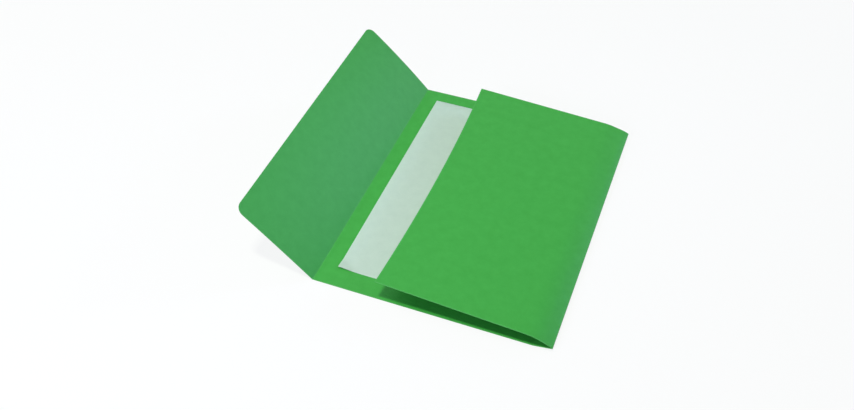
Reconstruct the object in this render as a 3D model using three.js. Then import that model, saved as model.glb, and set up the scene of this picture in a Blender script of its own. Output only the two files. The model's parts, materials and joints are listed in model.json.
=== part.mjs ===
// Pocket folder: one die-cut blank of green card, creased into a back panel, a cover flap,
// a two-strip spine and a pocket panel, with one loose sheet lying in the pocket.
// Millimetres. +Z is up, +Y runs along the spine, +X points from the cover flap to the spine.
// The origin is the centre of the back panel's underside, which lies flat on the table.

import * as THREE from 'three';

// The sheet that the folder is made for, and the card left bare around it
const sheetWidth = 210;
const sheetLength = 297;
const sheetThickness = 0.1;
const sheetClearance = 0.05;
const marginAtFlap = 18.7;
const marginAtSpine = 12.1;
const marginAtNearEnd = 24.3;
const marginAtFarEnd = 17.2;

// Card
const cardThickness = 0.4;
const flapDepth = 110.5;
const flapCornerRadius = 10;
const lowerStripWidth = 19.75;
const upperStripWidth = 19.75;
const pocketDepth = 171;
const pocketEdgeHollow = 5.4;

// Creases: how far the scored card bends to each side of its line, the seam left to each panel,
// and the card's bending radius on its inner face
const creaseReach = 1;
const creaseSeam = 0.3;
const creaseInnerRadius = 0.1;

// How the folder stands open at rest: each piece's slope to the table, in degrees
const flapSlope = 45;
const lowerStripSlope = 10.5;
const upperStripSlope = 29;
const pocketSlope = 4.3;

// Smoothness of the round stretches
const creaseDegreesPerStep = 15;
const outlineArcSteps = 24;

const cardGreen = new THREE.MeshStandardMaterial({ color: 0x3fae4b, roughness: 0.75, metalness: 0 });
const sheetWhite = new THREE.MeshStandardMaterial({ color: 0xe9efe9, roughness: 0.85, metalness: 0 });

const radians = THREE.MathUtils.degToRad;
const halfWidth = (marginAtFlap + sheetWidth + marginAtSpine) / 2;
const halfLength = (marginAtNearEnd + sheetLength + marginAtFarEnd) / 2;
const panelStart = creaseReach + creaseSeam;
const creaseOuterRadius = creaseInnerRadius + cardThickness;
const axisHeight = cardThickness + creaseInnerRadius;

// The spine fold turns the upper strip back over the lower one, towards the flap.
const spineFoldTurn = 180 - lowerStripSlope - upperStripSlope;
const upperCreaseTurn = upperStripSlope - pocketSlope;

// A flat piece of card: the outline lies in X and Y, and the inner face is just below z = 0,
// so that the axis of the crease that it hangs on is the line x = 0, z = 0.
function cardPiece(name, outline) {
  const geometry = new THREE.ExtrudeGeometry(outline, {
    depth: cardThickness,
    bevelEnabled: false,
    curveSegments: outlineArcSteps,
  });
  geometry.translate(0, 0, -creaseOuterRadius);
  const piece = new THREE.Mesh(geometry, cardGreen);
  piece.name = name;
  return piece;
}

function rectangle(fromX, toX) {
  const outline = new THREE.Shape();
  outline.moveTo(fromX, -halfLength);
  outline.lineTo(toX, -halfLength);
  outline.lineTo(toX, halfLength);
  outline.lineTo(fromX, halfLength);
  return outline;
}

// The flap runs towards -X from its crease, and its two free corners are rounded.
function flapOutline() {
  const corner = flapCornerRadius;
  const outline = new THREE.Shape();
  outline.moveTo(-panelStart, -halfLength);
  outline.lineTo(-panelStart, halfLength);
  outline.lineTo(-flapDepth + corner, halfLength);
  outline.absarc(-flapDepth + corner, halfLength - corner, corner, radians(90), radians(180));
  outline.lineTo(-flapDepth, -halfLength + corner);
  outline.absarc(-flapDepth + corner, -halfLength + corner, corner, radians(180), radians(270));
  return outline;
}

// The pocket's free edge is one shallow hollow arc from corner to corner.
function pocketOutline() {
  const arcRadius = (halfLength ** 2 + pocketEdgeHollow ** 2) / (2 * pocketEdgeHollow);
  const arcCentre = pocketDepth - pocketEdgeHollow + arcRadius;
  const halfAngle = Math.asin(halfLength / arcRadius);
  const outline = new THREE.Shape();
  outline.moveTo(panelStart, -halfLength);
  outline.lineTo(pocketDepth, -halfLength);
  outline.absarc(arcCentre, 0, arcRadius, Math.PI + halfAngle, Math.PI - halfAngle, true);
  outline.lineTo(panelStart, halfLength);
  return outline;
}

// A scored crease, bent by the given turn round the axis x = 0, z = 0, on its inner side:
// the card comes in from -X below the axis, goes round it, and leaves upwards towards +X.
function creasePiece(name, turn) {
  const angle = radians(turn);
  const inEnd = new THREE.Vector2(-creaseReach, 0);
  const outEnd = new THREE.Vector2(Math.cos(angle), Math.sin(angle)).multiplyScalar(creaseReach);
  const outward = new THREE.Vector2(Math.sin(angle), -Math.cos(angle));
  const outEndOuter = outEnd.clone().addScaledVector(outward, creaseOuterRadius);
  const outEndInner = outEnd.clone().addScaledVector(outward, creaseInnerRadius);
  const section = new THREE.Shape();
  section.moveTo(inEnd.x, -creaseInnerRadius);
  section.lineTo(inEnd.x, -creaseOuterRadius);
  section.absarc(0, 0, creaseOuterRadius, radians(-90), radians(-90) + angle);
  section.lineTo(outEndOuter.x, outEndOuter.y);
  section.lineTo(outEndInner.x, outEndInner.y);
  section.absarc(0, 0, creaseInnerRadius, radians(-90) + angle, radians(-90), true);
  const geometry = new THREE.ExtrudeGeometry(section, {
    depth: 2 * halfLength,
    bevelEnabled: false,
    curveSegments: Math.ceil(turn / creaseDegreesPerStep / 2),
  });
  geometry.rotateX(radians(90));
  geometry.translate(0, halfLength, 0);
  const piece = new THREE.Mesh(geometry, cardGreen);
  piece.name = name;
  return piece;
}

// What hangs on a crease is drawn flat, and a group turns it about the crease's axis.
function turnedGroup(x, z, turn) {
  const group = new THREE.Group();
  group.position.set(x, 0, z);
  group.rotation.y = radians(turn);
  return group;
}

function documentSheet() {
  const geometry = new THREE.BoxGeometry(sheetWidth, sheetLength, sheetThickness);
  const sheet = new THREE.Mesh(geometry, sheetWhite);
  sheet.name = 'document_sheet';
  sheet.position.set(
    -halfWidth + marginAtFlap + sheetWidth / 2,
    -halfLength + marginAtNearEnd + sheetLength / 2,
    cardThickness + sheetClearance + sheetThickness / 2,
  );
  return sheet;
}

function backPanel() {
  const panel = cardPiece('back_panel', rectangle(-halfWidth + panelStart, halfWidth - panelStart));
  panel.position.z = axisHeight;
  return panel;
}

function coverFlap() {
  const flap = turnedGroup(-halfWidth, axisHeight, flapSlope);
  flap.add(cardPiece('cover_flap', flapOutline()));
  return flap;
}

function flapCrease() {
  const crease = creasePiece('flap_crease', flapSlope);
  crease.position.set(-halfWidth, 0, axisHeight);
  crease.rotation.z = Math.PI;
  return crease;
}

// Spine and pocket: each strip carries the next one at its far edge.
function spineAndPocket() {
  const lowerCrease = creasePiece('spine_lower_crease', lowerStripSlope);
  lowerCrease.position.set(halfWidth, 0, axisHeight);

  const lowerStrip = turnedGroup(halfWidth, axisHeight, -lowerStripSlope);
  lowerStrip.add(cardPiece('spine_lower_strip', rectangle(panelStart, lowerStripWidth - panelStart)));
  const fold = creasePiece('spine_fold', spineFoldTurn);
  fold.position.x = lowerStripWidth;
  lowerStrip.add(fold);

  const upperStrip = turnedGroup(lowerStripWidth, 0, -spineFoldTurn);
  upperStrip.add(cardPiece('spine_upper_strip', rectangle(panelStart, upperStripWidth - panelStart)));
  const upperCrease = creasePiece('spine_upper_crease', upperCreaseTurn);
  upperCrease.position.x = upperStripWidth;
  upperStrip.add(upperCrease);
  lowerStrip.add(upperStrip);

  const pocket = turnedGroup(upperStripWidth, 0, -upperCreaseTurn);
  pocket.add(cardPiece('pocket_panel', pocketOutline()));
  upperStrip.add(pocket);
  return [lowerCrease, lowerStrip];
}

const folder = new THREE.Group();
folder.add(backPanel(), flapCrease(), coverFlap(), ...spineAndPocket(), documentSheet());

export default folder;
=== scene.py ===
# Pocket folder of green card, with one loose sheet in its open pocket.
# Metres, in the frame's axes: +Z is up, +Y runs along the spine, +X points from the cover flap to
# the spine. The card blank is walked from the flap's free edge, over the back panel and round the
# spine, to the pocket's free edge. Its section lies in X and Z, and its inner side is on the left
# of the walk, so every crease turns the walk to the left.

import json
import math

import bpy
import numpy as np
from mathutils import Euler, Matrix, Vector


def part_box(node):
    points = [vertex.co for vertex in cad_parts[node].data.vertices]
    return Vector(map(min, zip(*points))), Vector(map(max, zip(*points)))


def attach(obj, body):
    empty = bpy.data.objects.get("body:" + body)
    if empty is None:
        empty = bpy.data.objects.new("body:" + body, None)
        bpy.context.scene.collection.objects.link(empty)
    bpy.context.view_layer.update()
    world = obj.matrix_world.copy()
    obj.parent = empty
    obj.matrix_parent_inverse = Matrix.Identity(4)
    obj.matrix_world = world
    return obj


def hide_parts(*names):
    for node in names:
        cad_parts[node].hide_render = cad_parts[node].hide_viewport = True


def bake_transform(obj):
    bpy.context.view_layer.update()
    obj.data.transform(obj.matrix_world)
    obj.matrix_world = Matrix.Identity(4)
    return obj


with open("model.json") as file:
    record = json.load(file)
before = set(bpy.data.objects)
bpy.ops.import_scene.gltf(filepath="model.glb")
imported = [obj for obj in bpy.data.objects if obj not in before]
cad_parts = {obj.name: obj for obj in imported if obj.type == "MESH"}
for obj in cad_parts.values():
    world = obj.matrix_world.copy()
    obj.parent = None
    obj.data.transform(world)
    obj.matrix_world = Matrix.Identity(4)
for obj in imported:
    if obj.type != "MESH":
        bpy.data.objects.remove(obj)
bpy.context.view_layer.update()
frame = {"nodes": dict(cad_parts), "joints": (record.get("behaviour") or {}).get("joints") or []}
mm = 0.001

# What the frame says: creases, headings of the card between them, and sizes

same_place = 0.01 * mm
joints = {joint["name"]: joint for joint in frame["joints"]}


def direction(heading):
    return np.array([math.cos(heading), math.sin(heading)])


def inner_side(heading):
    return np.array([-math.sin(heading), math.cos(heading)])


def crease_line(joint):
    """Where a crease's axis passes in X and Z."""
    x, _, z = joints[joint]["pos_m"]
    return np.array([x, z])


def flat_turn(joint, limit):
    """How far a crease is bent at rest: what its joint has to turn to lay the card flat."""
    return math.radians(joints[joint]["range_deg"][limit])


def reaches(node, line, heading):
    """How far each of a node's points lies from a crease, along the card, and its Y."""
    points = np.array([vertex.co for vertex in frame["nodes"][node].data.vertices])
    return (points[:, [0, 2]] - line) @ direction(heading), points[:, 1]


flap_line = crease_line("cover_flap_turn")
lower_line = crease_line("spine_lower_turn")
fold_line = crease_line("pocket_open")
upper_line = crease_line("spine_upper_turn")

flap_heading = flat_turn("cover_flap_turn", 0)
back_heading = 0.0
lower_heading = flat_turn("spine_lower_turn", 1)
upper_heading = lower_heading + flat_turn("pocket_open", 1)
pocket_heading = upper_heading + flat_turn("spine_upper_turn", 1)

back_low, back_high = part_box("back_panel")
card_thickness = back_high.z - back_low.z
half_length = back_high.y
inner_radius = lower_line[1] - back_high.z
seam_reach = lower_line[0] - back_high.x
back_width = lower_line[0] - flap_line[0]
strip_width = float(np.linalg.norm(upper_line - fold_line))

flap_reaches, flap_ys = reaches("cover_flap", flap_line, flap_heading)
flap_depth = -flap_reaches.min()
flap_corner = half_length - abs(flap_ys[flap_reaches < -flap_depth + same_place]).max()

pocket_reaches, _ = reaches("pocket_panel", upper_line, pocket_heading)
pocket_depth = pocket_reaches.max()
pocket_hollow = pocket_depth - pocket_reaches[pocket_reaches > pocket_depth / 2].min()

sheet_low, sheet_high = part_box("document_sheet")

# What only the visible card has, in real sizes: rounded rims, an upper crease that bends softly
# over this length to each side of its line, and rubbed creases and edges

edge_round = 0.1 * mm
upper_rounding = 12 * mm
wear_reach = 1.6 * mm
crease_wear = 0.45
lower_crease_wear = 0.2

# The pocket panel is twisted: towards its far end it hangs lower, by these amounts, and the
# spine is pressed in a little there. The flap and the back panel count as lying far before the
# spine's fold, so they take no part in it.
far_sag_at_spine = 2.7 * mm
far_sag_at_mouth = 5.1 * mm
far_narrowing = 0.7 * mm
far_before_fold = -1.0

# The cover flap is bowed towards its inner side, by these amounts half way up its two ends.
near_bow = 0.6 * mm
far_bow = 1.7 * mm

sheet_curl_height = 1.9 * mm
sheet_curl_along_end = 24 * mm
sheet_curl_along_side = 16 * mm

# Where the rows of points lie along the card: the nearest ones to a crease and to a free edge, the
# one where the fold's stretch ends and the pocket's starts, and the number of steps in a stretch.
crease_row_reach = 0.7 * mm
edge_row_gap = 0.8 * mm
fold_piece_end = 4 * mm
crease_steps = 8
across_steps = 44
flap_corner_steps = 10
flap_steps = 16
back_steps = 30
lower_strip_steps = 6
upper_strip_steps = 3
pocket_steps = 30

# The sheet's points lie closer together beside its two edges that meet at the curled corner.
sheet_fine_zone = 20 * mm
sheet_fine_steps = 16
sheet_end_steps = 24
sheet_side_steps = 32

# The outer face and the cut edge have places of their own on the blank's map, so that their
# fibres differ from those of the inner face.
outer_face_offset = 1.0
cut_edge_offset = 2.0
sharp_angle = math.radians(35)

# Pressed fibre: how much each noise counts in its tone and in its relief, which part of a noise's
# range is spread over the two shades, over the flecks, and over wear and roughness, and how much
# flecks, wear and relief show
cloud_tone = 0.5
fibre_tone = 0.3
grain_tone = 0.4
tone_range = (0.46, 0.74)
fleck_range = (0.585, 0.66)
most_fleck = 0.35
middle_range = (0.3, 0.7)
least_wear = 0.3
grain_relief = 0.6
fibre_relief = 0.8
relief_strength = 0.8
roughness_swing = 0.06
worn_roughness = 0.1
fibre_ior = 1.45


# Materials

def node_tree(name):
    material = bpy.data.materials.new(name)
    material.use_nodes = True
    tree = material.node_tree
    tree.nodes.clear()
    return material, tree


def add_node(tree, kind, **settings):
    node = tree.nodes.new(kind)
    for key, value in settings.items():
        setattr(node, key, value)
    return node


def noise(tree, vector, scale, detail=2.0, roughness=0.5, stretch=(1, 1, 1), turn=0.0):
    """A noise over the flat blank; scale is in cells per metre, and stretch thins it along an axis."""
    mapping = add_node(tree, "ShaderNodeMapping")
    mapping.inputs["Scale"].default_value = stretch
    mapping.inputs["Rotation"].default_value = (0, 0, turn)
    tree.links.new(vector, mapping.inputs["Vector"])
    texture = add_node(tree, "ShaderNodeTexNoise")
    texture.inputs["Scale"].default_value = scale
    texture.inputs["Detail"].default_value = detail
    texture.inputs["Roughness"].default_value = roughness
    tree.links.new(mapping.outputs["Vector"], texture.inputs["Vector"])
    return texture.outputs["Fac"]


def remap(tree, value, low, high, to_low=0.0, to_high=1.0):
    node = add_node(tree, "ShaderNodeMapRange")
    node.inputs["From Min"].default_value = low
    node.inputs["From Max"].default_value = high
    node.inputs["To Min"].default_value = to_low
    node.inputs["To Max"].default_value = to_high
    tree.links.new(value, node.inputs["Value"])
    return node.outputs["Result"]


def combine(tree, operation, first, second):
    """Math on two sockets, or on a socket and a number."""
    node = add_node(tree, "ShaderNodeMath", operation=operation)
    for socket, value in zip(node.inputs, (first, second)):
        if isinstance(value, (int, float)):
            socket.default_value = value
        else:
            tree.links.new(value, socket)
    return node.outputs["Value"]


def weighted_sum(tree, *terms):
    """The sum of sockets, each times its own weight."""
    parts = [combine(tree, "MULTIPLY", value, weight) for value, weight in terms]
    total = parts[0]
    for part in parts[1:]:
        total = combine(tree, "ADD", total, part)
    return total


def blend_colours(tree, factor, first, second):
    node = add_node(tree, "ShaderNodeMix", data_type="RGBA")
    tree.links.new(factor, node.inputs["Factor"])
    for socket, value in ((node.inputs["A"], first), (node.inputs["B"], second)):
        if isinstance(value, tuple):
            socket.default_value = value
        else:
            tree.links.new(value, socket)
    return node.outputs["Result"]


def colour(red, green, blue):
    return (red, green, blue, 1.0)


def fibrous_material(name, shades, fleck, rubbed, roughness, grain_depth):
    """Pressed fibre stock: clouds, fibres and grain in colour, roughness and bump."""
    material, tree = node_tree(name)
    blank = add_node(tree, "ShaderNodeUVMap", uv_map="blank").outputs["UV"]
    clouds = noise(tree, blank, scale=90, detail=4, roughness=0.6)
    fibres_along = noise(tree, blank, scale=420, detail=4, roughness=0.6,
                         stretch=(4.5, 1, 1), turn=0.35)
    fibres_across = noise(tree, blank, scale=380, detail=4, roughness=0.6,
                          stretch=(1, 5, 1), turn=0.6)
    grain = noise(tree, blank, scale=1500, detail=3, roughness=0.65)
    both_fibres = combine(tree, "ADD", fibres_along, fibres_across)
    fibres = combine(tree, "MULTIPLY", both_fibres, 0.5)

    tone = weighted_sum(tree, (clouds, cloud_tone), (fibres, fibre_tone), (grain, grain_tone))
    base = blend_colours(tree, remap(tree, tone, *tone_range), shades[0], shades[1])
    flecks = remap(tree, fibres, *fleck_range, 0.0, most_fleck)
    base = blend_colours(tree, flecks, base, fleck)

    worn = add_node(tree, "ShaderNodeAttribute", attribute_name="wear").outputs["Fac"]
    worn = combine(tree, "MULTIPLY", worn, remap(tree, grain, *middle_range, least_wear, 1.0))
    base = blend_colours(tree, worn, base, rubbed)

    rough = remap(tree, fibres, *middle_range, roughness - roughness_swing,
                  roughness + roughness_swing)
    rough = combine(tree, "ADD", rough, combine(tree, "MULTIPLY", worn, worn_roughness))

    height = weighted_sum(tree, (grain, grain_relief), (fibres, fibre_relief))
    bump = add_node(tree, "ShaderNodeBump")
    bump.inputs["Strength"].default_value = relief_strength
    bump.inputs["Distance"].default_value = grain_depth
    tree.links.new(height, bump.inputs["Height"])

    shader = add_node(tree, "ShaderNodeBsdfPrincipled")
    shader.inputs["IOR"].default_value = fibre_ior
    tree.links.new(base, shader.inputs["Base Color"])
    tree.links.new(rough, shader.inputs["Roughness"])
    tree.links.new(bump.outputs["Normal"], shader.inputs["Normal"])
    output = add_node(tree, "ShaderNodeOutputMaterial")
    tree.links.new(shader.outputs["BSDF"], output.inputs["Surface"])
    return material


green_card = fibrous_material(
    "green_card",
    shades=(colour(0.033, 0.338, 0.034), colour(0.048, 0.395, 0.049)),
    fleck=colour(0.085, 0.44, 0.080),
    rubbed=colour(0.085, 0.40, 0.090),
    roughness=0.52,
    grain_depth=0.04 * mm,
)
card_cut_edge = fibrous_material(
    "card_cut_edge",
    shades=(colour(0.050, 0.36, 0.055), colour(0.085, 0.43, 0.09)),
    fleck=colour(0.16, 0.52, 0.15),
    rubbed=colour(0.12, 0.48, 0.12),
    roughness=0.8,
    grain_depth=0.08 * mm,
)
# The paper's shades, fleck and rubbed colours are greenish: this is painted green light, thrown back
# onto the sheet by the green card around it, and not the colour of the paper itself.
white_paper = fibrous_material(
    "white_paper",
    shades=(colour(0.58, 0.69, 0.56), colour(0.635, 0.74, 0.605)),
    fleck=colour(0.68, 0.78, 0.645),
    rubbed=colour(0.66, 0.76, 0.625),
    roughness=0.7,
    grain_depth=0.03 * mm,
)


# Rows of card points

def even_steps(start, stop, steps):
    """Even distances from start to stop, both included."""
    return list(np.linspace(start, stop, steps + 1))


def places_across():
    """Where a row's points lie, from -1 at the near end to 1 at the far end: evenly, and close to
    each other at both free ends, so that the wear there stays narrow."""
    half = half_length - edge_round
    near_end = [0.0, edge_row_gap, wear_reach]
    lower = [-half + gap for gap in near_end]
    upper = [half - gap for gap in reversed(near_end)]
    between = even_steps(lower[-1], upper[0], across_steps)[1:-1]
    return np.array(lower + between + upper) / half


across = places_across()


def flap_bow(reach, y):
    """How far the bowed flap stands off its chord, towards its inner side."""
    height = near_bow + (far_bow - near_bow) * (y / half_length + 1) / 2
    share = np.clip(-reach / flap_depth, 0, 1)
    return height * 4 * share * (1 - share)


class Row:
    """One line of card points across the folder, at a distance along the card from a crease.
    past_fold is how far that crease lies past the spine's fold, along the card."""

    def __init__(self, line, heading, reach, past_fold, half=half_length, wear=0.0, bowed=False):
        self.line = np.asarray(line)
        self.heading = heading
        self.reach = np.broadcast_to(np.asarray(reach, float), across.shape)
        self.past_fold = past_fold + self.reach
        self.y = across * (half - edge_round)
        self.wear = np.broadcast_to(np.asarray(wear, float), across.shape)
        self.bow = flap_bow(self.reach, self.y) if bowed else 0 * self.y


def flat_rows(line, heading, reach_list, past_fold=far_before_fold, rubbed=False, bowed=False):
    """Rows of a flat stretch, rubbed near the crease or not."""
    rows = []
    for reach in reach_list:
        wear = max(0.0, 1 - abs(reach) / wear_reach) if rubbed else 0.0
        rows.append(Row(line, heading, reach, past_fold, wear=wear, bowed=bowed))
    return rows


def crease_rows(line, heading_in, heading_out, past_fold=far_before_fold, wear=crease_wear):
    """A sharp crease: all its rows lie on its line, and the card's heading turns."""
    return [Row(line, heading, 0.0, past_fold, wear=wear)
            for heading in even_steps(heading_in, heading_out, crease_steps)]


def rounded_rows(line, heading_in, heading_out, tangent, past_fold):
    """A crease that bends softly: an arc that leaves the card at tangent before and after it."""
    turn = heading_out - heading_in
    radius = tangent / math.tan(turn / 2)
    start = line - tangent * direction(heading_in)
    rows = []
    for angle in even_steps(0, turn, crease_steps):
        point = start + radius * (math.sin(angle) * direction(heading_in)
                                  + (1 - math.cos(angle)) * inner_side(heading_in))
        share = 2 * angle / turn - 1
        rows.append(Row(point, heading_in + angle, 0.0, past_fold + tangent * share))
    return rows


def eased(value):
    share = np.clip(value, 0, 1)
    return share * share * (3 - 2 * share)


def settled(row):
    """How far the twisted panel and the pressed spine stand off the solids, in X and in Z."""
    far = (row.y / half_length + 1) / 2
    at_spine = far_sag_at_spine * eased(row.past_fold / strip_width)
    over_panel = np.clip((row.past_fold - strip_width) / pocket_depth, 0, 1)
    sag = at_spine + (far_sag_at_mouth - far_sag_at_spine) * over_panel
    narrowing = far_narrowing * eased((row.past_fold + strip_width) / strip_width)
    return -far * narrowing, -far * sag


def row_faces(row):
    """The row's points on the inner and on the outer face of the card."""
    inward = inner_side(row.heading)
    along = row.line + row.reach[:, None] * direction(row.heading)
    along = along + np.column_stack(settled(row))
    faces = []
    for depth in (inner_radius, inner_radius + card_thickness):
        section = along + (row.bow - depth)[:, None] * inward
        faces.append(np.column_stack([section[:, 0], row.y, section[:, 1]]))
    return faces


# Meshes

def add_object(name, data):
    thing = bpy.data.objects.new(name, data)
    bpy.context.scene.collection.objects.link(thing)
    return thing


def boundary(row_count, column_count):
    """The grid's border, once round."""
    last_row, last_column = row_count - 1, column_count - 1
    loop = [(0, column) for column in range(column_count)]
    loop += [(row, last_column) for row in range(1, row_count)]
    loop += [(last_row, column) for column in reversed(range(last_column))]
    loop += [(row, 0) for row in reversed(range(1, last_row))]
    return loop


def rim_directions(inner, outer, border, loop, free_start, free_end):
    """Which way the rim bulges at each point of the border. Along a seam with the next stretch it
    doesn't, apart from the seam's two ends, where both stretches bulge straight out."""
    last_row, last_column = inner.shape[0] - 1, inner.shape[1] - 1
    tangent = np.roll(border, -1, axis=0) - np.roll(border, 1, axis=0)
    inward = np.array([inner[place] - outer[place] for place in loop])
    outward = np.cross(inward, tangent)
    outward /= np.linalg.norm(outward, axis=1)[:, None]
    seam_ends = {0: -1.0, last_column: 1.0}
    for number, (row, column) in enumerate(loop):
        if (row == 0 and not free_start) or (row == last_row and not free_end):
            outward[number] = (0, seam_ends.get(column, 0.0), 0)
    return outward


def surface_faces(row_count, column_count):
    """The quads of the inner face, each followed by its twin on the outer face."""
    faces = []
    for row in range(row_count - 1):
        for column in range(column_count - 1):
            first = row * column_count + column
            quad = [first, first + column_count, first + column_count + 1, first + 1]
            twin = [row_count * column_count + index for index in reversed(quad)]
            faces += [quad, twin]
    return faces


def rim_faces(loop, border, column_count, grid_size):
    """Two quads for each step along the border, and their places on the blank's map."""
    steps = np.linalg.norm(np.roll(border, -1, axis=0) - border, axis=1)
    run = cut_edge_offset + np.concatenate([[0], np.cumsum(steps)])
    half = card_thickness / 2
    faces = []
    uvs = []
    for number, (row, column) in enumerate(loop):
        following = (number + 1) % len(loop)
        here = row * column_count + column
        there = loop[following][0] * column_count + loop[following][1]
        rim_here = 2 * grid_size + number
        rim_there = 2 * grid_size + following
        start, stop = run[number], run[number + 1]
        faces.append([here, there, rim_there, rim_here])
        uvs += [(start, 0), (stop, 0), (stop, half), (start, half)]
        faces.append([rim_here, rim_there, grid_size + there, grid_size + here])
        uvs += [(start, half), (stop, half), (stop, card_thickness), (start, card_thickness)]
    return faces, uvs


def closed_sheet(name, inner, outer, wear, materials, free_start, free_end, blank_start=0.0):
    """A closed mesh between two grids of points, with a rounded rim along its free edges. Returns
    it, and where its columns end on the flat blank."""
    row_count, column_count = inner.shape[:2]
    middle = (inner + outer) / 2
    steps = np.linalg.norm(np.diff(middle[:, :, [0, 2]], axis=0), axis=2)
    blank_u = blank_start + np.vstack([np.zeros(column_count), np.cumsum(steps, axis=0)])
    blank_v = middle[:, :, 1]

    loop = boundary(row_count, column_count)
    border = np.array([middle[place] for place in loop])
    rim = border + edge_round * rim_directions(inner, outer, border, loop, free_start, free_end)

    points = np.concatenate([inner.reshape(-1, 3), outer.reshape(-1, 3), rim])
    points_u = np.concatenate([blank_u.ravel(), blank_u.ravel()])
    points_v = np.concatenate([blank_v.ravel(), blank_v.ravel() + outer_face_offset])
    faces = surface_faces(row_count, column_count)
    surface_count = len(faces)
    uvs = [(points_u[index], points_v[index]) for face in faces for index in face]
    edge_faces, edge_uvs = rim_faces(loop, border, column_count, row_count * column_count)

    mesh = bpy.data.meshes.new(name)
    mesh.from_pydata(points.tolist(), [], faces + edge_faces)
    layer = mesh.uv_layers.new(name="blank")
    layer.data.foreach_set("uv", np.array(uvs + edge_uvs, np.float32).ravel())
    rim_wear = [wear[place] for place in loop]
    values = np.concatenate([wear.ravel(), wear.ravel(), rim_wear])
    attribute = mesh.attributes.new("wear", "FLOAT", "POINT")
    attribute.data.foreach_set("value", values.astype(np.float32))
    for material in materials:
        mesh.materials.append(material)
    for polygon in mesh.polygons:
        polygon.use_smooth = True
        polygon.material_index = 0 if polygon.index < surface_count else 1
    mesh.set_sharp_from_angle(angle=sharp_angle)
    mesh.validate()
    return add_object(name, mesh), blank_u[-1]


# The card blank

def card_piece(name, rows, blank_start, free_start=False, free_end=False):
    """A stretch of the card blank. Returns it, and where it ends on the flat blank."""
    faces = [row_faces(row) for row in rows]
    inner = np.array([face[0] for face in faces])
    outer = np.array([face[1] for face in faces])
    wear = np.array([row.wear for row in rows])
    ends = 1 - np.clip((half_length - edge_round - abs(inner[:, :, 1])) / wear_reach, 0, 1)
    wear = np.maximum(wear, ends)
    if free_start:
        wear[0] = 1
    if free_end:
        wear[-1] = 1
    piece, blank_end = closed_sheet(name, inner, outer, wear, (green_card, card_cut_edge),
                                    free_start, free_end, blank_start)
    return piece, blank_end


def flap_rows():
    """From the flap's free edge with its two rounded corners to the seam on the back panel."""
    corner_start = flap_depth - flap_corner
    rows = []
    for angle in even_steps(math.pi / 2, 0, flap_corner_steps):
        reach = -(corner_start + (flap_corner - edge_round) * math.sin(angle))
        half = half_length - flap_corner * (1 - math.cos(angle))
        rows.append(Row(flap_line, flap_heading, reach, far_before_fold, half=half, bowed=True))
    panel = even_steps(-corner_start, -wear_reach, flap_steps)[1:] + [-crease_row_reach]
    rows += flat_rows(flap_line, flap_heading, panel, rubbed=True, bowed=True)
    rows += crease_rows(flap_line, flap_heading, back_heading)
    rows += flat_rows(flap_line, back_heading, [crease_row_reach, seam_reach], rubbed=True)
    return rows


def back_rows():
    panel = even_steps(seam_reach, back_width - seam_reach, back_steps)
    return flat_rows(flap_line, back_heading, panel)


def lower_rows():
    """From the seam on the back panel, round the lower crease, to the seam before the fold."""
    before = -strip_width
    rows = flat_rows(lower_line, back_heading, [-seam_reach, -crease_row_reach], before)
    rows += crease_rows(lower_line, back_heading, lower_heading, before, wear=lower_crease_wear)
    strip = even_steps(seam_reach, strip_width - seam_reach, lower_strip_steps)
    rows += flat_rows(lower_line, lower_heading, [crease_row_reach] + strip, before)
    return rows


def fold_rows():
    """Round the spine's fold, and on to where the pocket's stretch starts."""
    before = [-seam_reach, -crease_row_reach]
    after = [crease_row_reach, seam_reach, fold_piece_end]
    rows = flat_rows(fold_line, lower_heading, before, past_fold=0.0, rubbed=True)
    rows += crease_rows(fold_line, lower_heading, upper_heading, past_fold=0.0)
    rows += flat_rows(fold_line, upper_heading, after, past_fold=0.0, rubbed=True)
    return rows


def pocket_reach(y):
    """The pocket's free edge is a shallow hollow arc from corner to corner."""
    radius = (half_length ** 2 + pocket_hollow ** 2) / (2 * pocket_hollow)
    return pocket_depth - pocket_hollow + radius - np.sqrt(radius ** 2 - y ** 2) - edge_round


def pocket_rows():
    """From the upper strip, round the softly bent upper crease, to the hollow free edge."""
    strip = even_steps(fold_piece_end, strip_width - upper_rounding, upper_strip_steps)[:-1]
    rows = flat_rows(fold_line, upper_heading, strip, past_fold=0.0)
    rows += rounded_rows(upper_line, upper_heading, pocket_heading, upper_rounding, strip_width)
    edge = pocket_reach(across * half_length)
    for share in even_steps(0, 1, pocket_steps)[1:-1]:
        reach = upper_rounding + share * (edge - wear_reach - upper_rounding)
        rows.append(Row(upper_line, pocket_heading, reach, strip_width))
    for gap in (wear_reach, edge_row_gap, 0.0):
        wear = 1 - gap / wear_reach
        rows.append(Row(upper_line, pocket_heading, edge - gap, strip_width, wear=wear))
    return rows


def make_folder():
    """The card blank's five stretches, each from where the one before it ends."""
    flap, blank_at = card_piece("cover_flap_card", flap_rows(), 0.0, free_start=True)
    back, blank_at = card_piece("back_panel_card", back_rows(), blank_at)
    lower, blank_at = card_piece("spine_lower_card", lower_rows(), blank_at)
    fold, blank_at = card_piece("spine_fold_card", fold_rows(), blank_at)
    pocket, _ = card_piece("pocket_card", pocket_rows(), blank_at, free_end=True)

    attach(back, "back")
    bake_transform(flap)
    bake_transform(lower)
    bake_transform(fold)
    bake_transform(pocket)

    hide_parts("back_panel")
    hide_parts("cover_flap", "flap_crease")
    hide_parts("spine_lower_crease", "spine_lower_strip")
    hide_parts("spine_fold")
    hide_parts("spine_upper_strip", "spine_upper_crease", "pocket_panel")


# The loose sheet

def sheet_places(low, high, coarse_steps):
    """Where the sheet's points lie along one side, closer together near the curled corner."""
    fine_end = low + sheet_fine_zone
    return np.array(even_steps(low, fine_end, sheet_fine_steps)
                    + even_steps(fine_end, high, coarse_steps)[1:])


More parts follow.
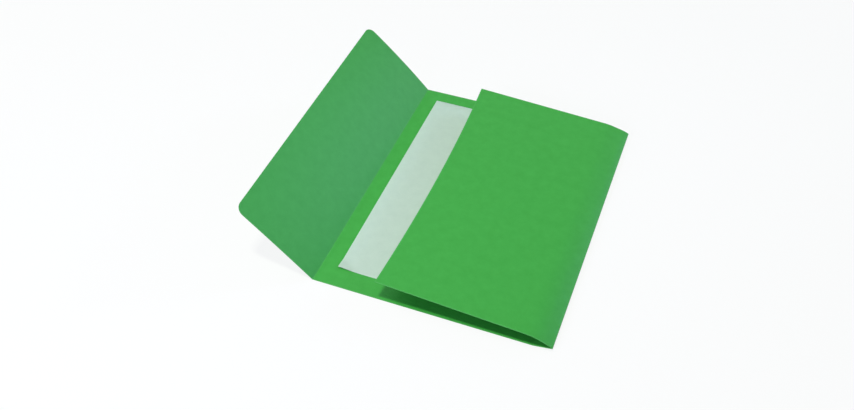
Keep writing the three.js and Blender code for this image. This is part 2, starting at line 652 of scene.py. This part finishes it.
def make_sheet():
    """The loose sheet, with its near corner at the flap curled up a little."""
    xs = sheet_places(sheet_low.x, sheet_high.x, sheet_end_steps)
    ys = sheet_places(sheet_low.y, sheet_high.y, sheet_side_steps)
    grid_x, grid_y = np.meshgrid(xs, ys, indexing="ij")
    corner = ((grid_x - sheet_low.x) / sheet_curl_along_end
              + (grid_y - sheet_low.y) / sheet_curl_along_side)
    lift = sheet_curl_height * (1 - eased(corner))
    top = np.stack([grid_x, grid_y, sheet_high.z + lift], axis=2)
    under = np.stack([grid_x, grid_y, sheet_low.z + lift], axis=2)
    unworn = np.zeros(grid_x.shape)
    # The sheet's paper carries painted green bounce light from the card in its colours.
    sheet, _ = closed_sheet("loose_sheet", top, under, unworn, (white_paper, white_paper),
                            free_start=True, free_end=True)
    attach(sheet, "sheet")
    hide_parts("document_sheet")


make_folder()
make_sheet()


# Camera

camera_spot = Vector((0.2296, -0.7181, 0.7619))
camera_azimuth = math.radians(21.753)
camera_elevation = math.radians(45.58)
camera_roll = math.radians(-0.91)
camera_nearest = 0.01
camera_farthest = 50
sensor_width = 36.0
focal_length = 39.76


def make_camera():
    data = bpy.data.cameras.new("camera")
    data.sensor_width = sensor_width
    data.lens = focal_length
    data.clip_start = camera_nearest
    data.clip_end = camera_farthest
    camera = add_object("camera", data)
    camera.location = camera_spot
    look = Euler((math.pi / 2 - camera_elevation, 0, camera_azimuth), "XYZ").to_matrix()
    roll = Euler((0, 0, camera_roll), "XYZ").to_matrix()
    camera.rotation_euler = (look @ roll).to_euler()
    bpy.context.scene.camera = camera


make_camera()


# Floor, light and world

floor_radius = 6.0
floor_sides = 96
floor_drop = 0.1 * mm
floor_bounce_tone = colour(0.6, 0.6, 0.6)
floor_shown_tone = colour(0.98, 0.97, 0.9)
floor_whiteness = 0.85
floor_fade_from = 0.5
floor_fade_to = 2.2
white = colour(1.0, 1.0, 1.0)
ambient_light = colour(0.118, 0.158, 0.225)
flap_middle = (-0.14, -0.03, 0.04)


def seen_itself(tree):
    """1 for the rays that show a surface as it is: the camera's, mirrored ones and ones that
    pass through something. 0 for those that only gather light."""
    path = add_node(tree, "ShaderNodeLightPath")
    seen = combine(tree, "MAXIMUM", path.outputs["Is Camera Ray"], path.outputs["Is Glossy Ray"])
    return combine(tree, "MAXIMUM", seen, path.outputs["Is Transmission Ray"])


def matt(tree, tone):
    node = add_node(tree, "ShaderNodeBsdfDiffuse")
    node.inputs["Color"].default_value = tone
    return node.outputs["BSDF"]


def blend_shaders(tree, factor, first, second):
    node = add_node(tree, "ShaderNodeMixShader")
    tree.links.new(factor, node.inputs["Fac"])
    tree.links.new(first, node.inputs[1])
    tree.links.new(second, node.inputs[2])
    return node.outputs["Shader"]


def make_floor():
    """A wide white disc just under the folder. It shows white with a soft shadow, and plain white
    farther out, and the light that it throws back at the folder is dimmer than that."""
    ring = [(floor_radius * math.cos(2 * math.pi * side / floor_sides),
             floor_radius * math.sin(2 * math.pi * side / floor_sides), -floor_drop)
            for side in range(floor_sides)]
    mesh = bpy.data.meshes.new("floor")
    mesh.from_pydata(ring, [], [list(range(floor_sides))])
    floor = add_object("floor", mesh)
    material, tree = node_tree("floor_white")
    from_middle = add_node(tree, "ShaderNodeVectorMath", operation="LENGTH")
    places = add_node(tree, "ShaderNodeTexCoord").outputs["Object"]
    tree.links.new(places, from_middle.inputs[0])
    whiteness = remap(tree, from_middle.outputs["Value"], floor_fade_from, floor_fade_to,
                      floor_whiteness, 1.0)
    plain_white = add_node(tree, "ShaderNodeEmission").outputs["Emission"]
    shown = blend_shaders(tree, whiteness, matt(tree, floor_shown_tone), plain_white)
    surface = blend_shaders(tree, seen_itself(tree), matt(tree, floor_bounce_tone), shown)
    output = add_node(tree, "ShaderNodeOutputMaterial")
    tree.links.new(surface, output.inputs["Surface"])
    mesh.materials.append(material)


def make_world():
    """A white surrounding that lights the folder with a dim, bluish light."""
    world = bpy.data.worlds.new("soft_studio")
    bpy.context.scene.world = world
    world.use_nodes = True
    tree = world.node_tree
    tree.nodes.clear()
    shade = blend_colours(tree, seen_itself(tree), ambient_light, white)
    light = add_node(tree, "ShaderNodeBackground")
    tree.links.new(shade, light.inputs["Color"])
    output = add_node(tree, "ShaderNodeOutputWorld")
    tree.links.new(light.outputs["Background"], output.inputs["Surface"])


def soft_light(name, place, size, power, tint, aim=(0, 0, 0), beam=180):
    """A rectangular lamp at a place, aimed at a point, with the width of its beam in degrees."""
    data = bpy.data.lights.new(name, "AREA")
    data.shape = "RECTANGLE"
    data.size, data.size_y = size
    data.energy = power
    data.color = tint
    data.spread = math.radians(beam)
    lamp = add_object(name, data)
    lamp.location = place
    lamp.rotation_euler = (Vector(aim) - Vector(place)).to_track_quat("-Z", "Y").to_euler()


make_floor()
make_world()
soft_light("overhead_strip", place=(-0.165, -0.57, 2.69), size=(0.45, 0.18), power=37.8,
           tint=(0.95, 1.0, 0.89))
soft_light("far_right_light", place=(1.45, 1.45, 0.75), size=(0.5, 0.5), power=0.41,
           tint=(0.42, 0.63, 1.0), aim=flap_middle, beam=24)
soft_light("near_left_light", place=(-0.6, -1.5, 0.5), size=(0.7, 0.7), power=17.5,
           tint=(0.7, 0.68, 1.0))
soft_light("left_light", place=(-1.3, 0.3, 1.5), size=(0.8, 0.8), power=6.0,
           tint=(0.87, 1.0, 1.0))

bpy.context.scene.view_settings.view_transform = "Standard"
